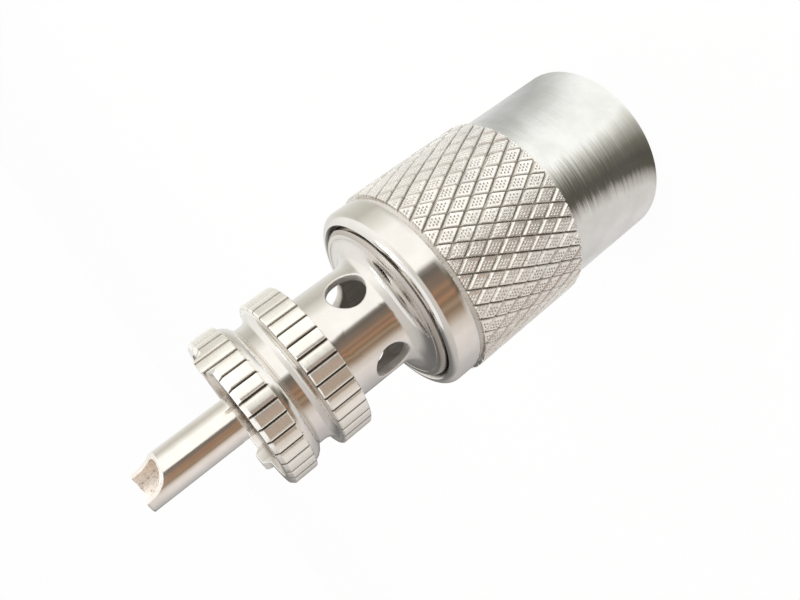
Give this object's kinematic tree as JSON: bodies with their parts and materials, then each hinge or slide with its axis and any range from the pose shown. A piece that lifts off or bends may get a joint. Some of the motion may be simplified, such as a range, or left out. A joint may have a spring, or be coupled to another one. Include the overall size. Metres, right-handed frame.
{
  "type": "uhf connector",
  "caption": "Coaxial cable plug: hollow centre pin in a knurled head with solder holes, and a threaded coupling ring that slides over it.",
  "frame": {"origin": "centre of the coupling ring's flat rear face, on which the plug stands", "axes": "+Z along the plug's axis from the cable end towards the tip of the centre pin; one solder hole faces -Y and one faces -X"},
  "size_m": [0.0192, 0.0192, 0.0522],
  "materials": {
    "ring_plating": "nickel plated brass, brushed rear, bright knurl",
    "body_plating": "nickel plated brass, polished",
    "contact_plating": "plated brass, bright, drawn lines along it",
    "insulator_resin": "dark brown moulded phenolic"
  },
  "bodies": {
    "plug": {"plug_body": "body_plating", "insulator": "insulator_resin", "centre_contact": "contact_plating"},
    "ring": {"coupling_ring": "ring_plating"}
  },
  "joints": [
    {"name": "ring_slide", "type": "slide", "parent": "plug", "child": "ring", "axis": [0, 0, 1], "range_m": [0, 0.0214]}
  ]
}
